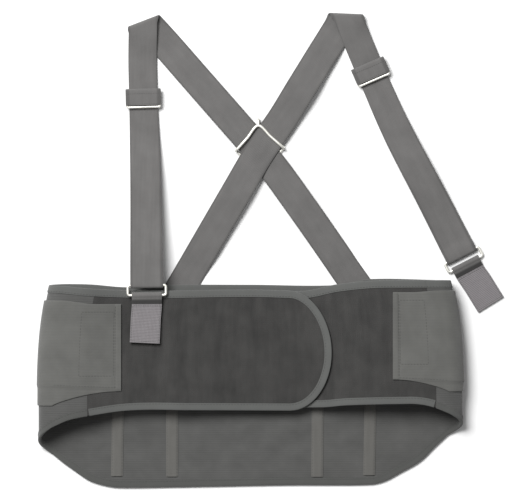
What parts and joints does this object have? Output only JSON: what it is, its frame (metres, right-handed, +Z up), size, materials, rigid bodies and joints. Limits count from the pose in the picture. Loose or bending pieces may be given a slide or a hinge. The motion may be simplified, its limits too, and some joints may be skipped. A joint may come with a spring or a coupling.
{
  "type": "back support belt with suspenders",
  "caption": "Elastic back support belt, fastened in a loop and lying flat, with outer pull straps, stay channels and crossed shoulder straps with wire slides.",
  "frame": {"origin": "centre of the whole object's box, on the surface that it lies on", "axes": "+X across the belt towards the right in the picture, +Y from the belt towards the shoulder folds of the straps, +Z up from the surface"},
  "size_m": [0.5226, 0.5324, 0.0382],
  "materials": {
    "elastic": "matte woven elastic",
    "ribbed": "matte ribbed knit",
    "brushed": "matte brushed loop",
    "tape": "matte woven tape",
    "webbing": "matte woven webbing",
    "hooks": "matte hook tape",
    "metal": "satin plated wire"
  },
  "bodies": {
    "root": {"back_panel": "ribbed", "back_binding_top_left": "tape", "back_binding_top_middle": "tape", "back_binding_top_right": "tape", "back_binding_bottom": "tape", "stay_1": "tape", "stay_2": "tape", "stay_3": "tape", "stay_4": "tape", "front_panel_right": "brushed", "front_binding_right": "tape", "front_panel_left": "brushed", "front_binding_left": "tape", "cinch_panel_left": "elastic", "cinch_panel_right": "elastic", "strap_right": "webbing", "strap_left": "webbing", "adjuster_slide_right": "metal", "slide_band_right": "webbing", "adjuster_slide_left": "metal", "slide_band_left": "webbing", "ring_right": "metal", "tab_loop_right": "webbing", "hook_patch_right": "hooks", "ring_left": "metal", "tab_loop_left": "webbing", "hook_patch_left": "hooks", "cross_slide": "metal"}
  },
  "joints": []
}
